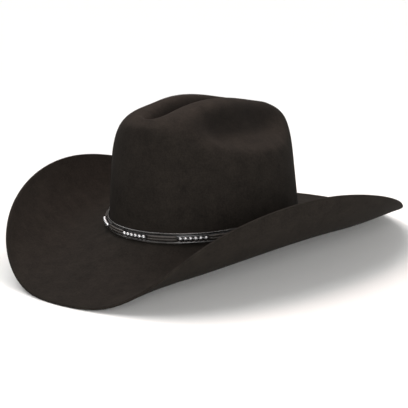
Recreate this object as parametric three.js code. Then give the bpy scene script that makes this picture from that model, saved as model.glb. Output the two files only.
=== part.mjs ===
// Western hat: a felt crown and brim in one piece, with a leather band and rows of beads round its foot.
// Millimetres, +Z up. The hat's front looks along -Y, its wearer's left side is +X.
// The origin lies under the middle of the hat, on the surface that the brim rests on.
import * as THREE from 'three';
import { mergeVertices } from 'three/addons/utils/BufferGeometryUtils.js';

// Felt
const HEAD_LENGTH = 202;
const HEAD_WIDTH = 170;
const FELT = 2.4;
const CROWN_HEIGHT = 120;
const BRIM_WIDTH = 103;

// How the crown's top leans down to the back and narrows to the front, as shares
const CROWN_TILT = 0.095;
const TILT_EASED = 0.35;
const FRONT_NARROWING = 0.12;
const NARROWING_STARTS_UP = 0.5;
const NARROWING_FULL_UP = 0.8;
const NARROWING_FULL_FORWARD = 0.8;

// The dent in each side: where it starts and is full at its front and at its back, as forward shares of
// the half length
const DENT_FRONT = 0.82;
const DENT_FULL_FRONT = 0.36;
const DENT_FULL_BACK = -0.3;
const DENT_BACK = -0.76;

// How far the crown's foot sinks from the middle of the sides to the front and to the back. The sag is
// full from this share of the half length on, and fades out up to this share of the crown's height.
const FRONT_SAG = 1.3;
const BACK_SAG = 14;
const SAG_FULL = 0.85;
const SAG_FADES_UP = 0.55;

// How the brim sinks away from the crown's foot, and drops further at its front and back edges
const BRIM_DIP = 22;
const DIP_REACH = 32;
const DIP_POWER = 1.5;
const ROLL_POWER = 1.42;
const FRONT_DROP = 9;
const FRONT_DROP_STARTS = 0.7;
const BACK_DROP = 9;
const BACK_DROP_STARTS = 0.49;
const FLATTENED = 1.3;
const FLAT_MARGIN = 0.6;

// Band: everything is seated on the crown's foot with a small clearance
const SEAT = 0.4;
const CLEARANCE = 0.3;
const BAND_LIFT = 0.3;
const LOWER_EDGE_RADIUS = 1.25;
const UPPER_EDGE_RADIUS = 0.8;
const STRAP_HEIGHT = 5;
const STRAP_THICKNESS = 1.4;
const BEAD_RADIUS = 1.85;
const BEAD_PITCH = 4.55;
const BEADS_IN_GROUP = 6;
const GROUPS = 7;
const GROUP_PITCH = 57.3;
const LACE_HEIGHT = 4.4;
const LACE_THICKNESS = 1.2;
const LACE_GAP = 1.2;
const KEEPER_LENGTH = 18;
const KEEPER_THICKNESS = 1.4;

// Fineness of the meshes
const COLUMNS = 56;
const CROWN_STEPS = 18;
const ROLL_STEPS = 24;
const EDGE_SIDES = 6;
const BEAD_SIDES = 10;
const LACE_STEP = 7;
const KEEPER_STEPS = 3;
const BEAD_TIP_ANGLE = 60;
const LENGTH_STEPS = 1440;
const MERGE_DISTANCE = 1e-4;

const HALF_LENGTH = HEAD_LENGTH / 2;
const HALF_WIDTH = HEAD_WIDTH / 2;

// The crown, ring by ring from its foot to the middle line of the top crease.
// side and end are shares of the half width and half length; sideUp and endUp are heights at the
// middle of the sides and at the front and back, as shares of the crown's height; pressed and sunk are
// how far the dent in each side is pressed in, as a share of the half width, and down, as a share of the
// height.
const CROWN_RINGS = [
  { ring: 'foot', side: 1.0, end: 1.0, sideUp: 0.0, endUp: 0.0, pressed: 0, sunk: 0 },
  { ring: 'low wall', side: 0.975, end: 0.98, sideUp: 0.18, endUp: 0.18, pressed: 0, sunk: 0 },
  { ring: 'wall', side: 0.945, end: 0.955, sideUp: 0.38, endUp: 0.4, pressed: 0, sunk: 0 },
  { ring: 'high wall', side: 0.93, end: 0.927, sideUp: 0.55, endUp: 0.58, pressed: 0, sunk: 0 },
  { ring: 'shoulder', side: 0.907, end: 0.912, sideUp: 0.63, endUp: 0.7, pressed: 0.012, sunk: 0.022 },
  { ring: 'shelf', side: 0.882, end: 0.905, sideUp: 0.675, endUp: 0.765, pressed: 0.12, sunk: 0.03 },
  { ring: 'side dent', side: 0.843, end: 0.897, sideUp: 0.74, endUp: 0.793, pressed: 0.217, sunk: 0.053 },
  { ring: 'dent top', side: 0.743, end: 0.88, sideUp: 0.84, endUp: 0.813, pressed: 0.22, sunk: 0.066 },
  { ring: 'ridge side', side: 0.6, end: 0.837, sideUp: 0.91, endUp: 0.835, pressed: 0.142, sunk: 0.038 },
  { ring: 'ridge', side: 0.41, end: 0.797, sideUp: 0.94, endUp: 0.855, pressed: 0.03, sunk: 0.012 },
  { ring: 'crest', side: 0.23, end: 0.767, sideUp: 0.962, endUp: 0.828, pressed: 0, sunk: 0 },
  { ring: 'crease wall', side: 0.13, end: 0.743, sideUp: 0.925, endUp: 0.803, pressed: 0, sunk: 0 },
  { ring: 'low crease', side: 0.055, end: 0.725, sideUp: 0.825, endUp: 0.782, pressed: 0, sunk: 0 },
  { ring: 'crease', side: 0.0, end: 0.717, sideUp: 0.775, endUp: 0.77, pressed: 0, sunk: 0 },
];

// The brim's roll, in even steps from the front edge to the back edge: how far the sheet has turned
// up at its widest, in degrees, and where the roll starts, as a share of the crown's half width.
const BRIM_ROLL = [
  { place: 'front edge', turned: 190, starts: 0.25 },
  { place: 'crown front', turned: 112, starts: 0.535 },
  { place: 'middle', turned: 78, starts: 0.7 },
  { place: 'crown back', turned: 61, starts: 0.705 },
  { place: 'back edge', turned: 53, starts: 0.6 },
];

// Rings of the brim, as shares of its width from the edge to the crown
const BRIM_RINGS = [1, 0.955, 0.88, 0.76, 0.61, 0.46, 0.31, 0.18, 0.08, 0.02];

// A column of a table at a share of its length, on a smooth line through its rows
function tableAt(rows, column, share) {
  const last = rows.length - 1;
  const place = THREE.MathUtils.clamp(share, 0, 1) * last;
  const row = Math.min(Math.floor(place), last - 1);
  const t = place - row;
  const here = rows[row][column];
  const next = rows[row + 1][column];
  const before = row > 0 ? rows[row - 1][column] : 2 * here - next;
  const after = row + 2 <= last ? rows[row + 2][column] : 2 * next - here;
  const square = 2 * before - 5 * here + 4 * next - after;
  const cube = 3 * here - before - 3 * next + after;
  return here + 0.5 * ((next - before) * t + square * t * t + cube * t * t * t);
}

// The oval of the crown's foot: turn 0 is the front, a quarter turn is the wearer's left side
function ovalPoint(turn, outward) {
  const point = new THREE.Vector2(HALF_WIDTH * Math.sin(turn), -HALF_LENGTH * Math.cos(turn));
  const normal = new THREE.Vector2(Math.sin(turn) / HALF_WIDTH, -Math.cos(turn) / HALF_LENGTH);
  return point.addScaledVector(normal.normalize(), outward);
}

// How far the crown's foot lies below its level at the middle of the sides
function footSag(turn) {
  const forward = Math.cos(turn);
  return FRONT_SAG * THREE.MathUtils.smoothstep(forward, 0, SAG_FULL)
    + BACK_SAG * THREE.MathUtils.smoothstep(-forward, 0, SAG_FULL);
}

function crownPoint(turn, share) {
  const forward = Math.cos(turn);
  const atEnd = forward * forward;
  const inDent = (1 - THREE.MathUtils.smoothstep(forward, DENT_FULL_FRONT, DENT_FRONT))
    * THREE.MathUtils.smoothstep(forward, DENT_BACK, DENT_FULL_BACK);
  const sideUp = tableAt(CROWN_RINGS, 'sideUp', share);
  const up = sideUp * (1 - atEnd) + tableAt(CROWN_RINGS, 'endUp', share) * atEnd
    - tableAt(CROWN_RINGS, 'sunk', share) * inDent;
  const narrowing = FRONT_NARROWING
    * THREE.MathUtils.smoothstep(sideUp, NARROWING_STARTS_UP, NARROWING_FULL_UP)
    * THREE.MathUtils.smoothstep(forward, 0, NARROWING_FULL_FORWARD);
  const end = tableAt(CROWN_RINGS, 'end', share);
  const pressed = tableAt(CROWN_RINGS, 'pressed', share) * inDent;
  const side = (tableAt(CROWN_RINGS, 'side', share) - pressed) * (1 - narrowing);
  return new THREE.Vector3(
    HALF_WIDTH * side * Math.sin(turn),
    -HALF_LENGTH * end * forward,
    CROWN_HEIGHT * up * (1 + CROWN_TILT * end * forward * (1 - TILT_EASED * atEnd))
      - footSag(turn) * (1 - THREE.MathUtils.smoothstep(up, 0, SAG_FADES_UP)),
  );
}

// The flat brim's point x, y, once its sides are rolled up about lines that run front to back
function rollUp(x, y) {
  const widest = HALF_WIDTH + BRIM_WIDTH;
  const share = 0.5 + (0.5 * y) / (HALF_LENGTH + BRIM_WIDTH);
  const turned = THREE.MathUtils.degToRad(tableAt(BRIM_ROLL, 'turned', share));
  const starts = HALF_WIDTH * tableAt(BRIM_ROLL, 'starts', share);
  const step = Math.abs(x) / ROLL_STEPS;
  let across = 0;
  let up = 0;
  for (let i = 0; i < ROLL_STEPS; i += 1) {
    const reach = Math.max(0, (step * (i + 0.5) - starts) / (widest - starts));
    const angle = turned * reach ** ROLL_POWER;
    across += step * Math.cos(angle);
    up += step * Math.sin(angle);
  }
  return { across: Math.sign(x) * across, up };
}

function brimPoint(turn, width) {
  const foot = ovalPoint(turn, 0);
  const flat = ovalPoint(turn, width);
  const rolledFoot = rollUp(foot.x, foot.y);
  const rolled = rollUp(flat.x, flat.y);
  const held = Math.exp(-((width / DIP_REACH) ** DIP_POWER));
  const along = flat.y / (HALF_LENGTH + BRIM_WIDTH);
  const front = Math.max(0, (-along - FRONT_DROP_STARTS) / (1 - FRONT_DROP_STARTS));
  const back = Math.max(0, (along - BACK_DROP_STARTS) / (1 - BACK_DROP_STARTS));
  const sunk = BRIM_DIP + FRONT_DROP * front * front + BACK_DROP * back * back;
  return new THREE.Vector3(
    rolled.across + (foot.x - rolledFoot.across) * held,
    flat.y,
    rolled.up - (rolledFoot.up + footSag(turn)) * held - sunk * (1 - held),
  );
}

// A mesh from rings of equal length, each joined to the next.
// Ends: 'joined' joins the last ring to the first, 'capped' closes both with a fan, and 'open' leaves them
// to points that meet. The two halves of a ring mirror each other.
function meshFromRings(rings, ends) {
  const count = rings[0].length;
  const points = rings.flat();
  const faces = [];
  const joins = ends === 'joined' ? rings.length : rings.length - 1;
  for (let r = 0; r < joins; r += 1) {
    const here = r * count;
    const next = ((r + 1) % rings.length) * count;
    for (let i = 0; i < count; i += 1) {
      const j = (i + 1) % count;
      const onFirstHalf = i < count / 2;
      faces.push(here + i, here + j, onFirstHalf ? next + j : next + i);
      faces.push(onFirstHalf ? here + i : here + j, next + j, next + i);
    }
  }
  if (ends === 'capped') {
    const lastRing = (rings.length - 1) * count;
    const firstMiddle = points.push(middleOf(rings[0])) - 1;
    const lastMiddle = points.push(middleOf(rings[rings.length - 1])) - 1;
    for (let i = 0; i < count; i += 1) {
      const j = (i + 1) % count;
      faces.push(firstMiddle, j, i);
      faces.push(lastMiddle, lastRing + i, lastRing + j);
    }
  }
  const geometry = new THREE.BufferGeometry();
  geometry.setAttribute('position', new THREE.Float32BufferAttribute(points.flatMap((p) => p.toArray()), 3));
  geometry.setIndex(faces);
  return mergeVertices(geometry, MERGE_DISTANCE);
}

function middleOf(points) {
  const sum = points.reduce((total, point) => total.add(point), new THREE.Vector3());
  return sum.divideScalar(points.length);
}

function columnTurns() {
  return Array.from({ length: COLUMNS }, (_, i) => (2 * Math.PI * i) / COLUMNS);
}

// The felt as one grid, from the brim's edge up to the crease: the middle of the brim's sheet, then the
// outside of the crown. skin is how far the outer face of the felt stands off the grid.
function feltGrid() {
  const turns = columnTurns();
  const brim = BRIM_RINGS.map((share) => ({
    points: turns.map((turn) => brimPoint(turn, share * BRIM_WIDTH)),
    skin: FELT / 2,
  }));
  const crown = Array.from({ length: CROWN_STEPS + 1 }, (_, k) => ({
    points: turns.map((turn) => crownPoint(turn, k / CROWN_STEPS)),
    skin: 0,
  }));
  crown[0].points.forEach((point, i) => point.setZ(FELT / 2 - footSag(turns[i])));
  return [...brim, ...crown];
}

// The direction out of the felt at a point of the grid. On the crease, the left and right halves meet.
function feltNormal(grid, r, i) {
  const last = grid.length - 1;
  const mirrored = (COLUMNS - i) % COLUMNS;
  const atCreaseEnd = r === last && mirrored === i;
  const around = grid[atCreaseEnd ? last - 1 : r].points;
  const aroundStep = around[(i + 1) % COLUMNS].clone().sub(around[(i + COLUMNS - 1) % COLUMNS]);
  const below = grid[Math.max(0, r - 1)].points[i];
  const onCrease = r === last && !atCreaseEnd;
  const above = onCrease ? grid[last - 1].points[mirrored] : grid[Math.min(last, r + 1)].points[i];
  return aroundStep.cross(above.clone().sub(below)).normalize();
}

// The two faces of the felt. The underside is pressed flat where the brim rests.
function feltFaces() {
  const grid = feltGrid();
  const normals = grid.map((ring, r) => ring.points.map((_, i) => feltNormal(grid, r, i)));
  const face = (depth) => grid.map((ring, r) => ring.points.map((point, i) => (
    point.clone().addScaledVector(normals[r][i], ring.skin - depth)
  )));
  const outer = face(0);
  const inner = face(FELT);
  const floor = Math.min(...inner.flat().map((point) => point.z)) + FLATTENED;
  inner.forEach((ring, r) => ring.forEach((point, i) => {
    if (point.z > floor + FLAT_MARGIN) return;
    point.setZ(floor);
    outer[r][i].setZ(Math.max(outer[r][i].z, floor + FELT));
  }));
  return { outer, inner, floor };
}

// A point beside the crown's foot: up above the foot, and outward from the felt
function besideCrown(turn, up, outward) {
  const rows = CROWN_RINGS.length - 1;
  const wall = crownPoint(turn, up / (CROWN_HEIGHT * CROWN_RINGS[1].sideUp * rows));
  const shift = ovalPoint(turn, outward).sub(ovalPoint(turn, 0));
  return new THREE.Vector3(wall.x + shift.x, wall.y + shift.y, up - footSag(turn));
}

// The turn at a length along the band from the middle of the front. A length above zero goes round by the
// wearer's left.
function turnAtLength(length, outward) {
  const step = (2 * Math.PI) / LENGTH_STEPS;
  let turn = 0;
  let walked = 0;
  let piece = 0;
  while (walked < Math.abs(length)) {
    piece = ovalPoint(turn, outward).distanceTo(ovalPoint(turn + step, outward));
    walked += piece;
    turn += step;
  }
  const beyond = piece > 0 ? (walked - Math.abs(length)) / piece : 0;
  return Math.sign(length) * (turn - beyond * step);
}

function bandLength(outward) {
  const step = (2 * Math.PI) / LENGTH_STEPS;
  const pieces = Array.from({ length: LENGTH_STEPS }, (_, i) => (
    ovalPoint(i * step, outward).distanceTo(ovalPoint((i + 1) * step, outward))
  ));
  return pieces.reduce((sum, piece) => sum + piece, 0);
}

// Heights and seats of the band's pieces, from the crown's foot up and out
const lowerEdgeUp = FELT / 2 + BAND_LIFT + LOWER_EDGE_RADIUS;
const strapBottom = lowerEdgeUp + LOWER_EDGE_RADIUS + CLEARANCE;
const strapTop = strapBottom + STRAP_HEIGHT;
const strapMiddle = (strapBottom + strapTop) / 2;
const upperEdgeUp = strapTop + CLEARANCE + UPPER_EDGE_RADIUS;
const strapFace = SEAT + STRAP_THICKNESS;
const trimSeat = strapFace + CLEARANCE;
const keeperSeat = SEAT + 2 * LOWER_EDGE_RADIUS + CLEARANCE;

// A whole loop round the crown. Its section is a list of corners, each outward and up, turning from
// outward to up.
function loopRoundCrown(section) {
  const turns = columnTurns();
  const rings = section.map(({ out, up }) => turns.map((turn) => besideCrown(turn, up, out)));
  return meshFromRings(rings, 'joined');
}

function roundSection(out, up, radius, sides) {
  return Array.from({ length: sides }, (_, i) => {
    const angle = (2 * Math.PI * i) / sides;
    return { out: out + radius * Math.cos(angle), up: up + radius * Math.sin(angle) };
  });
}

function flatSection(out, up, thickness, height) {
  return [
    { out: out + thickness, up },
    { out: out + thickness, up: up + height },
    { out, up: up + height },
    { out, up },
  ];
}

// A piece that follows the band for a part of its length, through a section at each place
function pieceAlongBand(places, path) {
  const rings = places.map(({ length, section }) => {
    const turn = turnAtLength(length, path);
    return [...section].reverse().map(({ out, up }) => besideCrown(turn, up, out));
  });
  return meshFromRings(rings, 'capped');
}

function evenPlaces(from, to, steps, section) {
  return Array.from({ length: steps + 1 }, (_, i) => ({ length: from + ((to - from) * i) / steps, section }));
}

function materialOf(color, roughness, metalness) {
  return new THREE.MeshStandardMaterial({ color, roughness, metalness });
}

function named(name, geometry, material) {
  const mesh = new THREE.Mesh(geometry, material);
  mesh.name = name;
  return mesh;
}

const FELT_COLOUR = '#2a211c';
const STRAP_COLOUR = '#12100f';
const EDGE_COLOUR = '#2b2826';
const LACE_COLOUR = '#332c29';
const METAL_COLOUR = '#c4c6c9';

function feltBody(faces) {
  const geometry = meshFromRings([...faces.inner].reverse().concat(faces.outer), 'open');
  return named('felt_body', geometry, materialOf(FELT_COLOUR, 0.95, 0));
}

function bandStrap() {
  const section = flatSection(SEAT, strapBottom, STRAP_THICKNESS, STRAP_HEIGHT);
  return named('band_strap', loopRoundCrown(section), materialOf(STRAP_COLOUR, 0.35, 0));
}

function bandEdge(name, up, radius) {
  const section = roundSection(SEAT + radius, up, radius, EDGE_SIDES);
  return named(name, loopRoundCrown(section), materialOf(EDGE_COLOUR, 0.35, 0));
}

// Beads on one pin, from a third of the way round each bead to the next
function beadGroup(name, middle) {
  const beadOut = trimSeat + BEAD_RADIUS;
  const first = middle - (BEAD_PITCH * (BEADS_IN_GROUP - 1)) / 2;
  const places = [];
  for (let bead = 0; bead < BEADS_IN_GROUP; bead += 1) {
    [-BEAD_TIP_ANGLE, 0, BEAD_TIP_ANGLE].forEach((angle) => {
      const tilt = THREE.MathUtils.degToRad(angle);
      places.push({
        length: first + bead * BEAD_PITCH + BEAD_RADIUS * Math.sin(tilt),
        section: roundSection(beadOut, strapMiddle, BEAD_RADIUS * Math.cos(tilt), BEAD_SIDES),
      });
    });
  }
  return named(name, pieceAlongBand(places, beadOut), materialOf(METAL_COLOUR, 0.25, 1));
}

function lace(name, from, to) {
  const section = flatSection(trimSeat, strapMiddle - LACE_HEIGHT / 2, LACE_THICKNESS, LACE_HEIGHT);
  const places = evenPlaces(from, to, Math.ceil((to - from) / LACE_STEP), section);
  return named(name, pieceAlongBand(places, trimSeat + BEAD_RADIUS), materialOf(LACE_COLOUR, 0.5, 0));
}

function bandKeeper(middle) {
  const bottom = lowerEdgeUp - LOWER_EDGE_RADIUS;
  const height = upperEdgeUp + UPPER_EDGE_RADIUS - bottom;
  const section = flatSection(keeperSeat, bottom, KEEPER_THICKNESS, height);
  const places = evenPlaces(middle - KEEPER_LENGTH / 2, middle + KEEPER_LENGTH / 2, KEEPER_STEPS, section);
  const geometry = pieceAlongBand(places, trimSeat + BEAD_RADIUS);
  return named('band_keeper', geometry, materialOf(STRAP_COLOUR, 0.4, 0));
}

// Groups of beads from the middle of the front round both sides, with laces between them. The last lace
// on each side runs on to the keeper at the back.
function bandTrim() {
  const pieces = [];
  const outermost = (GROUPS - 1) / 2;
  const groupReach = (BEAD_PITCH * (BEADS_IN_GROUP - 1)) / 2 + BEAD_RADIUS + LACE_GAP;
  const halfBand = bandLength(trimSeat + BEAD_RADIUS) / 2;
  const keeperReach = KEEPER_LENGTH / 2 + LACE_GAP;
  for (let group = 0; group < GROUPS; group += 1) {
    const middle = (group - outermost) * GROUP_PITCH;
    pieces.push(beadGroup(`bead_group_${group + 1}`, middle));
    const isLast = group === GROUPS - 1;
    const laceEnd = isLast ? halfBand - keeperReach : middle + GROUP_PITCH - groupReach;
    pieces.push(lace(`band_lace_${group + 2}`, middle + groupReach, laceEnd));
  }
  const firstGroup = -outermost * GROUP_PITCH;
  pieces.push(lace('band_lace_1', keeperReach - halfBand, firstGroup - groupReach));
  pieces.push(bandKeeper(halfBand));
  return pieces;
}

const faces = feltFaces();
const hat = new THREE.Group();
hat.add(feltBody(faces));
hat.add(bandStrap());
hat.add(bandEdge('band_edge_lower', lowerEdgeUp, LOWER_EDGE_RADIUS));
hat.add(bandEdge('band_edge_upper', upperEdgeUp, UPPER_EDGE_RADIUS));
hat.add(...bandTrim());
hat.position.set(0, 0, -faces.floor);

export default hat;
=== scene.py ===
import math

import bmesh
import bpy
from mathutils import Euler, Matrix, Vector


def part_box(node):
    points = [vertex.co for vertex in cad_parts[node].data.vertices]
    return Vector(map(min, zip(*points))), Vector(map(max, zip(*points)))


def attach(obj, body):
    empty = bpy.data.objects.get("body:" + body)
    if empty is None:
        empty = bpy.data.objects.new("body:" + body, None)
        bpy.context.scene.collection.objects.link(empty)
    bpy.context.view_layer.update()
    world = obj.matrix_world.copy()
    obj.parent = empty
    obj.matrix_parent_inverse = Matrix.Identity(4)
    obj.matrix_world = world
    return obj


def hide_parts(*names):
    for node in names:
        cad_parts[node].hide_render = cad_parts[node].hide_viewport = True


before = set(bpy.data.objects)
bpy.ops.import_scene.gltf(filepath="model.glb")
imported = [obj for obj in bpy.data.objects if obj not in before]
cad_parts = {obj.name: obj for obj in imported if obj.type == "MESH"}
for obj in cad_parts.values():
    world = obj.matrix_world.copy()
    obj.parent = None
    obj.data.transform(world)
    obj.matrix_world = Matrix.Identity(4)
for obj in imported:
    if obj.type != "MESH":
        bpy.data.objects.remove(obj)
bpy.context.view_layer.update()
scene = bpy.context.scene

# ---- Camera ----
# The photograph looks a little down on the hat from its front left, with a long lens.
CAMERA_DISTANCE = 1.2
CAMERA_AZIMUTH = math.radians(38.55)
CAMERA_ELEVATION = math.radians(15.65)
CAMERA_ROLL = math.radians(2.0)
FRAME_WIDTH = 0.3910
SENSOR_WIDTH = 36.0
AIM = Vector((0.0, 0.0, 0.0308))

outward = Vector((
    math.sin(CAMERA_AZIMUTH) * math.cos(CAMERA_ELEVATION),
    -math.cos(CAMERA_AZIMUTH) * math.cos(CAMERA_ELEVATION),
    math.sin(CAMERA_ELEVATION),
))
camera = bpy.data.objects.new("photo_camera", bpy.data.cameras.new("photo_camera"))
camera.data.sensor_width = SENSOR_WIDTH
camera.data.lens = SENSOR_WIDTH * CAMERA_DISTANCE / FRAME_WIDTH
camera.data.shift_x = -0.0037
camera.data.shift_y = 0.0249
camera.location = AIM + CAMERA_DISTANCE * outward
camera.rotation_euler = (
    outward.to_track_quat("Z", "Y") @ Euler((0.0, 0.0, -CAMERA_ROLL)).to_quaternion()
).to_euler()
scene.collection.objects.link(camera)
scene.camera = camera
scene.view_settings.view_transform = "Standard"

# ---- Floor ----
# A wide sheet of plain, pale studio paper that the hat stands on. It is matte and lies flat, and reaches
# far enough back to fill the picture.
FLOOR_SIZE = 16.0
PAPER = "#f8f7f5"


def linear(hex_colour, alpha=1.0):
    """An sRGB hex colour as linear RGBA."""
    channels = [int(hex_colour[i:i + 2], 16) / 255.0 for i in (1, 3, 5)]
    return (*(c / 12.92 if c <= 0.04045 else ((c + 0.055) / 1.055) ** 2.4 for c in channels), alpha)


def socket_of(node, key):
    """A node's input by number or name, of those that its settings leave in use."""
    if isinstance(key, int):
        return node.inputs[key]
    return next(i for i in node.inputs if i.enabled and i.name == key.replace("_", " "))


def add_node(tree, kind, settings, joins=None, **links):
    """Adds a node. Settings fill its properties or inputs, joins and links connect its inputs."""
    node = tree.nodes.new(kind)
    for key, value in settings.items():
        if isinstance(key, str) and hasattr(node, key):
            setattr(node, key, value)
    for key, value in settings.items():
        if isinstance(key, int) or not hasattr(node, key):
            socket_of(node, key).default_value = value
    for key, source in {**(joins or {}), **links}.items():
        tree.links.new(source, socket_of(node, key))
    return node


def new_material(name):
    """An empty material and its tree."""
    material = bpy.data.materials.new(name)
    material.use_nodes = True
    material.node_tree.nodes.clear()
    return material, material.node_tree


def finish_material(tree, shader):
    """Joins the shader to the surface."""
    add_node(tree, "ShaderNodeOutputMaterial", {}, Surface=shader.outputs["BSDF"])


def object_from(mesh_builder, name, material, smooth=True):
    """Turns a bmesh into an object in the scene."""
    mesh = bpy.data.meshes.new(name)
    mesh_builder.to_mesh(mesh)
    mesh_builder.free()
    mesh.polygons.foreach_set("use_smooth", [smooth] * len(mesh.polygons))
    mesh.materials.append(material)
    piece = bpy.data.objects.new(name, mesh)
    scene.collection.objects.link(piece)
    return piece


# Studio paper: matte and even.
studio_paper, tree = new_material("studio_paper")
finish_material(tree, add_node(tree, "ShaderNodeBsdfPrincipled", {
    "Base Color": linear(PAPER), "Roughness": 0.9, "Specular IOR Level": 0.2,
}))
paper = bmesh.new()
bmesh.ops.create_grid(paper, x_segments=2, y_segments=2, size=FLOOR_SIZE / 2)
floor = object_from(paper, "floor", studio_paper, smooth=False)

# ---- Lights ----
# A pale room and three wide, soft lights, far off, light the hat and the whole floor alike. A slightly
# warm soft box hangs close over the crown, so that its top and shelves come out brighter than the brim.
ROOM = "#ffffff"
ROOM_STRENGTH = 0.28
# name, azimuth, elevation and spread in degrees, strength
WIDE_LIGHTS = (
    ("left_light", -90.0, 60.0, 60.0, 2.1),
    ("front_light", 40.0, 16.0, 40.0, 1.6),
    ("right_light", 75.0, 10.0, 40.0, 1.85),
)
OVERHEAD_BOX = Vector((-0.03, 0.0, 0.38))
OVERHEAD_SIZE = 0.22
OVERHEAD_WATTS = 0.95
OVERHEAD_TINT = "#ffe6de"

world = bpy.data.worlds.new("pale_room")
world.use_nodes = True
world.node_tree.nodes["Background"].inputs["Color"].default_value = linear(ROOM)
world.node_tree.nodes["Background"].inputs["Strength"].default_value = ROOM_STRENGTH
scene.world = world


def add_light(name, kind, energy):
    """Adds a light to the scene, pointing down."""
    light = bpy.data.objects.new(name, bpy.data.lights.new(name, kind))
    light.data.energy = energy
    scene.collection.objects.link(light)
    return light


for name, azimuth, elevation, spread, strength in WIDE_LIGHTS:
    around, up = math.radians(azimuth), math.radians(elevation)
    way = Vector((math.sin(around) * math.cos(up), -math.cos(around) * math.cos(up), math.sin(up)))
    light = add_light(name, "SUN", strength)
    light.data.angle = math.radians(spread)
    light.rotation_euler = way.to_track_quat("Z", "Y").to_euler()

overhead = add_light("overhead_box", "AREA", OVERHEAD_WATTS)
overhead.data.size = OVERHEAD_SIZE
overhead.data.color = linear(OVERHEAD_TINT)[:3]
overhead.location = OVERHEAD_BOX

# ---- Felt ----
# Crown and brim are blocked from one body of fur felt, dark brown, 2.4 mm thick, with a raw cut edge.
# The surface is pounced smooth, which leaves a short nap with a faint mottle and almost no shine.
FELT_DARK = "#181512"
FELT_LIGHT = "#24201c"
FELT_LEVELS = 2
MOTTLE_MM = 14.0
CLUMP_MM = 4.0
NAP_MM = 1.4
# Under the painted shade in the dents and the crease the felt keeps this share of its colour.
PAINTED_SHADE_SHARE = 0.5
# Middle and reach of the painted shade: in the dent of the wearer's left side, mirrored on the right,
# and in the crease.
PAINTED_SHADE_SPOTS = (
    (Vector((0.040, 0.006, 0.1275)), Vector((0.021, 0.096, 0.026))),
    (Vector((0.0, 0.0, 0.136)), Vector((0.019, 0.100, 0.028))),
)
# The brim's cut edge stays crisp. It is found by its sharp angle, outside an oval of this half size.
SHARP_ANGLE = math.radians(60)
RIM_INSIDE = Vector((0.115, 0.13))
RIM_CREASE = 0.85
# Two triangles are joined to a face of four sides where they lie within these angles.
JOIN_FACE_ANGLE = math.radians(50)
JOIN_SHAPE_ANGLE = math.radians(60)


def merged_copy(node):
    """A bmesh copy of a CAD node's mesh with its loose triangles joined up."""
    copy = bmesh.new()
    copy.from_mesh(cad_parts[node].data)
    bmesh.ops.remove_doubles(copy, verts=copy.verts, dist=1e-6)
    bmesh.ops.join_triangles(
        copy, faces=copy.faces,
        angle_face_threshold=JOIN_FACE_ANGLE, angle_shape_threshold=JOIN_SHAPE_ANGLE,
    )
    return copy


def subdivide(piece, levels):
    """Adds a subdivision surface."""
    modifier = piece.modifiers.new("smooth_form", "SUBSURF")
    modifier.levels = modifier.render_levels = levels


def per_metre(millimetres):
    """The scale of a pattern whose features have this size."""
    return 1000.0 / millimetres


# Fur felt: matte, with soft patches where the nap lies differently, and a fine grain of hairs that is
# drawn coarser than it is, so that it shows. Shade is painted into the felt's colour in the dents and
# the crease, so that they come out darker.
fur_felt, tree = new_material("pounced_fur_felt")
place = add_node(tree, "ShaderNodeTexCoord", {})
mottle = add_node(tree, "ShaderNodeTexNoise", {
    "Scale": per_metre(MOTTLE_MM), "Detail": 3.0, "Roughness": 0.55,
}, Vector=place.outputs["Object"])
clump = add_node(tree, "ShaderNodeTexNoise", {
    "Scale": per_metre(CLUMP_MM), "Detail": 3.0, "Roughness": 0.6, "Distortion": 0.6,
}, Vector=place.outputs["Object"])
hairs = add_node(tree, "ShaderNodeTexNoise", {
    "Scale": per_metre(NAP_MM), "Detail": 2.0, "Roughness": 0.6,
}, Vector=place.outputs["Object"])
nap = add_node(tree, "ShaderNodeMath", {"operation": "MULTIPLY_ADD", 1: 0.6}, {
    0: clump.outputs["Fac"], 2: hairs.outputs["Fac"],
})
nap_and_mottle = add_node(tree, "ShaderNodeMath", {"operation": "MULTIPLY_ADD", 1: 0.8}, {
    0: mottle.outputs["Fac"], 2: nap.outputs["Value"],
})
tint = add_node(tree, "ShaderNodeMapRange", {
    "From Min": 0.9, "From Max": 1.5,
}, Value=nap_and_mottle.outputs["Value"])
browns = add_node(tree, "ShaderNodeMix", {
    "data_type": "RGBA", "A": linear(FELT_DARK), "B": linear(FELT_LIGHT),
}, Factor=tint.outputs["Result"])
parts = add_node(tree, "ShaderNodeSeparateXYZ", {}, Vector=place.outputs["Object"])
aside = add_node(tree, "ShaderNodeMath", {"operation": "ABSOLUTE"}, {0: parts.outputs["X"]})
folded = add_node(tree, "ShaderNodeCombineXYZ", {}, {
    "X": aside.outputs["Value"], "Y": parts.outputs["Y"], "Z": parts.outputs["Z"],
})
# Painted shade: the felt's colour is darkened inside these spots round the dents and the crease.
shade_spots = []
for middle, size in PAINTED_SHADE_SPOTS:
    shade_spot = add_node(tree, "ShaderNodeMapping", {
        "vector_type": "TEXTURE", "Location": middle, "Scale": size,
    }, Vector=folded.outputs["Vector"])
    shade_spots.append(add_node(tree, "ShaderNodeTexGradient", {
        "gradient_type": "SPHERICAL",
    }, Vector=shade_spot.outputs["Vector"]))
strongest_shade = add_node(tree, "ShaderNodeMath", {"operation": "MAXIMUM"}, {
    0: shade_spots[0].outputs["Fac"], 1: shade_spots[1].outputs["Fac"],
})
dent_shade = add_node(tree, "ShaderNodeMapRange", {
    "interpolation_type": "SMOOTHSTEP", "From Min": 0.0, "From Max": 0.6,
}, Value=strongest_shade.outputs["Value"])
# The painted shade multiplies the browns.
browns = add_node(tree, "ShaderNodeMix", {
    "data_type": "RGBA", "blend_type": "MULTIPLY", "B": (*(PAINTED_SHADE_SHARE,) * 3, 1.0),
}, A=browns.outputs["Result"], Factor=dent_shade.outputs["Result"])
relief = add_node(tree, "ShaderNodeBump", {
    "Strength": 0.4, "Distance": 0.0003,
}, Height=nap.outputs["Value"])
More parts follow.
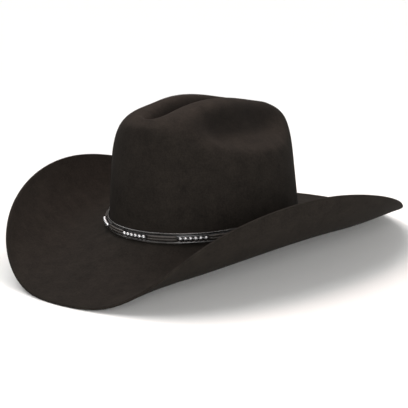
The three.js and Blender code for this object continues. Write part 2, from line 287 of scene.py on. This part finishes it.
finish_material(tree, add_node(tree, "ShaderNodeBsdfPrincipled", {
    "Roughness": 0.95, "Specular IOR Level": 0.1, "Sheen Weight": 0.05, "Sheen Roughness": 0.6,
    "Sheen Tint": linear(FELT_LIGHT),
}, Base_Color=browns.outputs["Result"], Normal=relief.outputs["Normal"]))

felt = merged_copy("felt_body")
crease = felt.edges.layers.float.new("crease_edge")
for edge in felt.edges:
    middle = (edge.verts[0].co + edge.verts[1].co) / 2
    is_outside = (middle.x / RIM_INSIDE.x) ** 2 + (middle.y / RIM_INSIDE.y) ** 2 > 1
    if is_outside and edge.calc_face_angle(0) > SHARP_ANGLE:
        edge[crease] = RIM_CREASE
hat_felt = object_from(felt, "hat_felt", fur_felt)
subdivide(hat_felt, FELT_LEVELS)
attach(hat_felt, "root")
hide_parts("felt_body")

# ---- Band strap ----
# A narrow strap of glazed black leather round the foot of the crown, with rounded edges. Everything
# else on the band lies on it.
STRAP_BLACK = "#0c0a0a"
STRAP_ROUNDING = 0.0004
ROUNDING_SEGMENTS = 3
GRAIN_MM = 0.7

# Glazed leather: almost black, with a clear gloss over a fine grain.
glazed_leather, tree = new_material("glazed_black_leather")
place = add_node(tree, "ShaderNodeTexCoord", {})
pores = add_node(tree, "ShaderNodeTexVoronoi", {
    "Scale": per_metre(GRAIN_MM),
}, Vector=place.outputs["Object"])
relief = add_node(tree, "ShaderNodeBump", {
    "Strength": 0.15, "Distance": 0.0001,
}, Height=pores.outputs["Distance"])
finish_material(tree, add_node(tree, "ShaderNodeBsdfPrincipled", {
    "Base Color": linear(STRAP_BLACK), "Roughness": 0.32, "Coat Weight": 0.4, "Coat Roughness": 0.12,
}, Normal=relief.outputs["Normal"]))


def softened_copy(node, rounding):
    """A merged copy of a CAD node's mesh with its long sharp edges rounded."""
    copy = merged_copy(node)
    sharp = [e for e in copy.edges if e.calc_face_angle(0) > SHARP_ANGLE]
    bmesh.ops.bevel(
        copy, geom=sharp, offset=rounding, segments=ROUNDING_SEGMENTS, profile=0.5, affect="EDGES",
        material=-1,
    )
    return copy


strap = object_from(softened_copy("band_strap", STRAP_ROUNDING), "strap", glazed_leather)
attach(strap, "root")
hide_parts("band_strap")

# ---- Band edges ----
# Two rolled cords of leather, one along each side of the strap and close to the felt. Paler stretches
# along the rolls are partly wear and partly painted sheen. The lower one is the thicker.
EDGE_BLACK = "#1e1c1b"
# Paler colour of the rolls: partly wear, partly painted sheen.
EDGE_WEAR_AND_SHEEN = "#54514e"
WEAR_MM = 25.0
# name, height above the crown's foot, radius
EDGES = (("lower", 0.00275, 0.00125), ("upper", 0.0104, 0.0008))
EDGE_STATIONS = 168
EDGE_SIDES = 12

# The band follows the crown's foot, an oval whose wall leans in as it rises.
CROWN_FOOT = 0.03083
HALF_WIDTH = 0.085
HALF_LENGTH = 0.101
SIDE_LEAN = 1.13
END_LEAN = 0.9
SEAT = 0.0004
# The foot sinks from the middle of the sides to the front and to the back, and is lowest from this share
# of the half length on.
FRONT_SAG = 0.0013
BACK_SAG = 0.014
SAG_FULL = 0.85


def beside_crown(turn, out, up):
    """A place beside the crown and its axes: out of the felt, up, and along the band.

    Turn 0 is the front and a quarter turn is the wearer's left side.
    """
    across, back = math.sin(turn), -math.cos(turn)
    full = min(abs(back) / SAG_FULL, 1.0)
    sag = (BACK_SAG if back > 0 else FRONT_SAG) * full * full * (3 - 2 * full)
    normal = Vector((across / HALF_WIDTH, back / HALF_LENGTH, 0.0)).normalized()
    point = Vector((
        HALF_WIDTH * (1 - SIDE_LEAN * up) * across,
        HALF_LENGTH * (1 - END_LEAN * up) * back,
        CROWN_FOOT + up - sag,
    )) + normal * out
    along = Vector((0.0, 0.0, 1.0)).cross(normal)
    axes = Matrix((normal, Vector((0.0, 0.0, 1.0)), along)).transposed().to_4x4()
    return Matrix.Translation(point) @ axes


def swept(places, sides, is_loop):
    """A round bar through a list of places. Each is a matrix that sets a unit circle in the bar."""
    bar = bmesh.new()
    bmesh.ops.create_circle(bar, segments=sides, radius=1.0)
    first = ring = list(bar.edges)
    bmesh.ops.transform(bar, matrix=places[0], verts=bar.verts)
    for before, after in zip(places, places[1:]):
        grown = bmesh.ops.extrude_edge_only(bar, edges=ring)["geom"]
        ring = [part for part in grown if isinstance(part, bmesh.types.BMEdge)]
        ring = [e for e in ring if e.is_boundary]
        verts = [part for part in grown if isinstance(part, bmesh.types.BMVert)]
        bmesh.ops.transform(bar, matrix=after @ before.inverted(), verts=verts)
    if is_loop:
        bmesh.ops.bridge_loops(bar, edges=first + ring)
    else:
        bmesh.ops.edgeloop_fill(bar, edges=first)
        bmesh.ops.edgeloop_fill(bar, edges=ring)
    bmesh.ops.recalc_face_normals(bar, faces=bar.faces)
    return bar


# Rolled leather: black, with a satin shine and paler stretches that are partly wear and partly painted
# sheen.
rolled_leather, tree = new_material("rolled_waxed_leather")
place = add_node(tree, "ShaderNodeTexCoord", {})
wear_and_sheen = add_node(tree, "ShaderNodeTexNoise", {
    "Scale": per_metre(WEAR_MM), "Detail": 4.0,
}, Vector=place.outputs["Object"])
# Painted sheen and wear: paler stretches of the rolls, placed at random.
wear_and_sheen_share = add_node(tree, "ShaderNodeMapRange", {
    "From Min": 0.4, "From Max": 0.75,
}, Value=wear_and_sheen.outputs["Fac"])
blacks = add_node(tree, "ShaderNodeMix", {
    "data_type": "RGBA", "A": linear(EDGE_BLACK), "B": linear(EDGE_WEAR_AND_SHEEN),
}, Factor=wear_and_sheen_share.outputs["Result"])
finish_material(tree, add_node(tree, "ShaderNodeBsdfPrincipled", {
    "Roughness": 0.26, "Coat Weight": 0.7, "Coat Roughness": 0.18,
}, Base_Color=blacks.outputs["Result"]))

for name, up, radius in EDGES:
    places = [
        beside_crown(2 * math.pi * i / EDGE_STATIONS, SEAT + radius, up) @ Matrix.Scale(radius, 4)
        for i in range(EDGE_STATIONS)
    ]
    roll = object_from(swept(places, EDGE_SIDES, is_loop=True), f"edge_{name}", rolled_leather)
    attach(roll, "root")
    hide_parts(f"band_edge_{name}")

# ---- Laces ----
# Between the groups of beads two strands of soft brown-black lace lie side by side along the strap.
# They come up through the strap beside one group and go down beside the next.
LACE_BROWN = "#1b1815"
# Paler colour of the laces' grain: partly the leather's own tone, partly painted sheen.
LACE_GRAIN_AND_SHEEN = "#48423d"
STRAP_MIDDLE = 0.0068
TRIM_SEAT = 0.0021
STRAND_RADIUS = 0.00105
STRAND_PITCH = 0.0022
# A strand's middle lies this share of its radius over the strap, so it rests flat on it.
STRAND_SEAT = 0.9
LACE_STATION_STEP = 0.0025
LACE_SIDES = 12
LACE_GRAIN_MM = 2.0
# Each strand is drawn in at its ends, where it goes through the strap.
END_SHARES = (0.45, 0.85, 1.0)

# Soft leather: dull, with a fine grain whose paler parts are partly the leather's own tone and partly
# painted sheen.
drawn_leather, tree = new_material("drawn_soft_leather")
place = add_node(tree, "ShaderNodeTexCoord", {})
wear_and_sheen = add_node(tree, "ShaderNodeTexNoise", {
    "Scale": per_metre(LACE_GRAIN_MM), "Detail": 4.0,
}, Vector=place.outputs["Object"])
# Painted sheen and grain: the strands are paler where the noise is high.
browns = add_node(tree, "ShaderNodeMix", {
    "data_type": "RGBA", "A": linear(LACE_BROWN), "B": linear(LACE_GRAIN_AND_SHEEN),
}, Factor=wear_and_sheen.outputs["Fac"])
relief = add_node(tree, "ShaderNodeBump", {
    "Strength": 0.3, "Distance": 0.0002,
}, Height=wear_and_sheen.outputs["Fac"])
finish_material(tree, add_node(tree, "ShaderNodeBsdfPrincipled", {
    "Roughness": 0.42,
}, Base_Color=browns.outputs["Result"], Normal=relief.outputs["Normal"]))


def turn_of(point):
    """The turn round the crown of a point beside it."""
    return math.atan2(point.x / HALF_WIDTH, -point.y / HALF_LENGTH)


for name in sorted(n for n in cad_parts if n.startswith("band_lace_")):
    turns = [turn_of(v.co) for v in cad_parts[name].data.vertices]
    reach = max(turns) - min(turns)
    steps = round(reach * HALF_LENGTH / LACE_STATION_STEP)
    lace = bmesh.new()
    for side in (-1, 1):
        places = []
        for i in range(steps + 1):
            turn = min(turns) + reach * i / steps
            size = END_SHARES[min(i, steps - i, len(END_SHARES) - 1)]
            radius = STRAND_RADIUS * size
            out = TRIM_SEAT + STRAND_SEAT * radius
            place = beside_crown(turn, out, STRAP_MIDDLE + side * STRAND_PITCH / 2)
            places.append(place @ Matrix.Diagonal((radius, radius, 1.0, 1.0)))
        strand = swept(places, LACE_SIDES, is_loop=False)
        strand_mesh = bpy.data.meshes.new("strand")
        strand.to_mesh(strand_mesh)
        strand.free()
        lace.from_mesh(strand_mesh)
        bpy.data.meshes.remove(strand_mesh)
    strands = object_from(lace, name.replace("band_", ""), drawn_leather)
    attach(strands, "root")
    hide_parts(name)

# ---- Beads ----
# Round beads of polished nickel silver, six threaded on each pin. The pins go through the strap.
NICKEL = "#c2c2c3"
BEAD_RADIUS = 0.00185
BEAD_PITCH = 0.00455
BEADS_ON_PIN = 6
PIN_RADIUS = 0.00015
PIN_SIDES = 10
BEAD_OUT = TRIM_SEAT + BEAD_RADIUS
BEAD_SEGMENTS = (24, 16)
CLOUD_MM = 0.5

# Nickel silver: bright, with a soft polish and faint clouding from handling.
polished_nickel, tree = new_material("polished_nickel_silver")
place = add_node(tree, "ShaderNodeTexCoord", {})
clouds = add_node(tree, "ShaderNodeTexNoise", {
    "Scale": per_metre(CLOUD_MM),
}, Vector=place.outputs["Object"])
polish = add_node(tree, "ShaderNodeMapRange", {
    "To Min": 0.3, "To Max": 0.4,
}, Value=clouds.outputs["Fac"])
finish_material(tree, add_node(tree, "ShaderNodeBsdfPrincipled", {
    "Base Color": linear(NICKEL), "Metallic": 1.0,
}, Roughness=polish.outputs["Result"]))


def along_band(middle, length):
    """The turn that lies this length along the beads' path from the turn in the middle."""
    speed = math.hypot(
        (HALF_WIDTH + BEAD_OUT) * math.cos(middle), (HALF_LENGTH + BEAD_OUT) * math.sin(middle),
    )
    return middle + length / speed


for name in sorted(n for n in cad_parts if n.startswith("bead_group_")):
    low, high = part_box(name)
    middle = turn_of((Vector(low) + Vector(high)) / 2)
    offsets = [(i - (BEADS_ON_PIN - 1) / 2) * BEAD_PITCH for i in range(BEADS_ON_PIN)]
    turns = [along_band(middle, offset) for offset in offsets]
    beads = bmesh.new()
    for turn in turns:
        bmesh.ops.create_uvsphere(
            beads, u_segments=BEAD_SEGMENTS[0], v_segments=BEAD_SEGMENTS[1], radius=BEAD_RADIUS,
            matrix=beside_crown(turn, BEAD_OUT, STRAP_MIDDLE),
        )
    for before, after in zip(turns, turns[1:]):
        bmesh.ops.create_cone(
            beads, cap_ends=True, segments=PIN_SIDES, radius1=PIN_RADIUS, radius2=PIN_RADIUS,
            depth=BEAD_PITCH, matrix=beside_crown((before + after) / 2, BEAD_OUT, STRAP_MIDDLE),
        )
    row = object_from(beads, name.replace("bead_group", "beads"), polished_nickel)
    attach(row, "root")
    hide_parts(name)

# ---- Keeper ----
# A plain leather tab at the back of the hat. It is of the strap's glazed leather, lies over the whole
# band and hides where its ends meet.
KEEPER_ROUNDING = 0.0005

keeper = object_from(softened_copy("band_keeper", KEEPER_ROUNDING), "keeper", glazed_leather)
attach(keeper, "root")
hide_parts("band_keeper")
